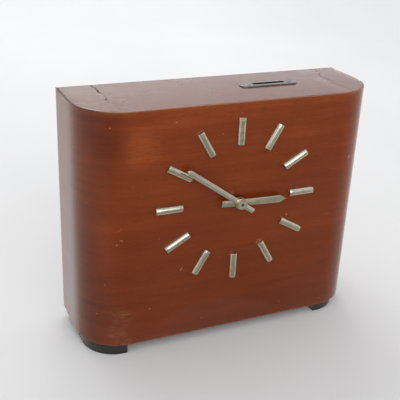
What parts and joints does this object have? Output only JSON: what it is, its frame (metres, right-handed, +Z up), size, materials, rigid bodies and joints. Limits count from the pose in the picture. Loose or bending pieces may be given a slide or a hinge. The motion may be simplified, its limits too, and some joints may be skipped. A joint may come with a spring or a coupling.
{
  "type": "table clock",
  "caption": "Wooden table clock with rounded front corners, applied half-round hour batons, bevelled hands, a coin slot in the top and a money compartment with a rear door.",
  "frame": {"origin": "on the floor plane, under the middle of the bounding box", "axes": "+X to the right seen from the front, +Y from the dial to the back, +Z up"},
  "size_m": [0.25, 0.0962, 0.206],
  "materials": {
    "lacquered_wood": "red-brown satin lacquer, worn",
    "plain_wood": "unfinished",
    "panel_wood": "stained plywood, matt",
    "black_lacquer": "black satin lacquer",
    "plated_brass": "nickel plated, aged polish",
    "slot_metal": "dull nickel, worn",
    "screw_steel": "dull",
    "brass_fittings": "aged",
    "movement_brass": "brushed",
    "steel": "polished",
    "spring_steel": "blued"
  },
  "bodies": {
    "case": {"front_veneer": "lacquered_wood", "end_block_left": "lacquered_wood", "end_block_right": "lacquered_wood", "top_board": "lacquered_wood", "front_board": "plain_wood", "bottom_board": "plain_wood", "divider_board": "plain_wood", "back_cleats": "plain_wood", "back_panel": "panel_wood", "foot_left": "black_lacquer", "foot_right": "black_lacquer", "hour_batons": "plated_brass", "coin_slot_plate": "slot_metal", "slot_plate_screws": "screw_steel", "foot_screws": "screw_steel", "movement_screws": "screw_steel", "back_panel_screws": "brass_fittings", "hinge_leaves_case": "brass_fittings", "hinge_screws_case": "brass_fittings", "dial_bush": "brass_fittings", "movement_front_plate": "movement_brass", "movement_back_plate": "movement_brass", "pillar_nuts": "movement_brass", "plate_pillars": "movement_brass", "hinge_pins": "steel", "click_spring": "spring_steel"},
    "door_leaf": {"money_door": "panel_wood", "hinge_leaves_door": "brass_fittings", "hinge_screws_door": "brass_fittings", "lock_housing": "brass_fittings"},
    "lock_core": {"lock_plug": "steel", "lock_cam": "steel"},
    "minute_set": {"hand_arbor": "steel", "minute_hand": "plated_brass", "minute_hand_collet": "plated_brass", "set_knob": "brass_fittings"},
    "motion_wheel": {"minute_wheel": "movement_brass"},
    "hour_set": {"hour_wheel": "movement_brass", "hour_hand": "plated_brass"},
    "barrel_set": {"spring_barrel": "movement_brass", "barrel_cover": "movement_brass", "mainspring": "spring_steel"},
    "winding_set": {"barrel_arbor": "steel", "ratchet_wheel": "steel", "winding_key": "brass_fittings"},
    "click_set": {"winding_click": "steel"},
    "centre_set": {"centre_wheel": "movement_brass"},
    "third_set": {"third_wheel": "movement_brass"},
    "fourth_set": {"fourth_wheel": "movement_brass"},
    "escape_set": {"escape_wheel": "movement_brass"},
    "lever_set": {"pallet_lever": "steel"},
    "balance_set": {"balance_wheel": "movement_brass", "hairspring": "spring_steel"}
  },
  "joints": [
    {"name": "money_door_swing", "type": "hinge", "parent": "case", "child": "door_leaf", "pos_m": [0.0862, 0.0357, 0.073], "axis": [0, 0, -1], "range_deg": [0, 100]},
    {"name": "lock_turn", "type": "hinge", "parent": "door_leaf", "child": "lock_core", "pos_m": [0.042, 0, 0.073], "axis": [0, 1, 0], "range_deg": [0, 90]},
    {"name": "minute_hand_turn", "type": "hinge", "parent": "case", "child": "minute_set", "pos_m": [-0.0012, 0, 0.12395], "axis": [0, 1, 0], "continuous": true},
    {"name": "motion_wheel_turn", "type": "hinge", "parent": "case", "child": "motion_wheel", "pos_m": [0.00919, 0, 0.11795], "axis": [0, 1, 0], "continuous": true},
    {"name": "hour_hand_turn", "type": "hinge", "parent": "case", "child": "hour_set", "pos_m": [-0.0012, 0, 0.12395], "axis": [0, 1, 0], "continuous": true},
    {"name": "third_wheel_turn", "type": "hinge", "parent": "case", "child": "third_set", "pos_m": [-0.0084, 0, 0.13642], "axis": [0, 1, 0], "continuous": true},
    {"name": "centre_wheel_turn", "type": "hinge", "parent": "case", "child": "centre_set", "pos_m": [-0.0012, 0, 0.12395], "axis": [0, 1, 0], "continuous": true},
    {"name": "barrel_turn", "type": "hinge", "parent": "case", "child": "barrel_set", "pos_m": [-0.00882, 0, 0.10302], "axis": [0, 1, 0], "continuous": true},
    {"name": "fourth_wheel_turn", "type": "hinge", "parent": "case", "child": "fourth_set", "pos_m": [-0.02132, 0, 0.13642], "axis": [0, 1, 0], "continuous": true},
    {"name": "escape_wheel_turn", "type": "hinge", "parent": "case", "child": "escape_set", "pos_m": [-0.02333, 0, 0.12504], "axis": [0, 1, 0], "continuous": true},
    {"name": "winding_key_turn", "type": "hinge", "parent": "case", "child": "winding_set", "pos_m": [-0.00882, 0, 0.10302], "axis": [0, -1, 0], "range_deg": [0, 1620]},
    {"name": "click_rock", "type": "hinge", "parent": "case", "child": "click_set", "pos_m": [0.00076, 0, 0.11105], "axis": [0, 1, 0], "range_deg": [-6, 6], "stiffness_Nm_per_rad": 0.0004},
    {"name": "lever_rock", "type": "hinge", "parent": "case", "child": "lever_set", "pos_m": [-0.03278, 0, 0.12337], "axis": [0, 1, 0], "range_deg": [-5, 5]},
    {"name": "balance_swing", "type": "hinge", "parent": "case", "child": "balance_set", "pos_m": [-0.04263, 0, 0.12163], "axis": [0, 1, 0], "range_deg": [-220, 220], "stiffness_Nm_per_rad": 0.000016, "deforming": ["hairspring"]}
  ],
  "couplings": [
    {"joint": "motion_wheel_turn", "follows": "minute_hand_turn", "ratio": -0.33333},
    {"joint": "hour_hand_turn", "follows": "minute_hand_turn", "ratio": 0.083333},
    {"joint": "centre_wheel_turn", "follows": "third_wheel_turn", "ratio": -0.125},
    {"joint": "barrel_turn", "follows": "third_wheel_turn", "ratio": 0.015625},
    {"joint": "fourth_wheel_turn", "follows": "third_wheel_turn", "ratio": -7.5},
    {"joint": "escape_wheel_turn", "follows": "third_wheel_turn", "ratio": 56.25}
  ]
}
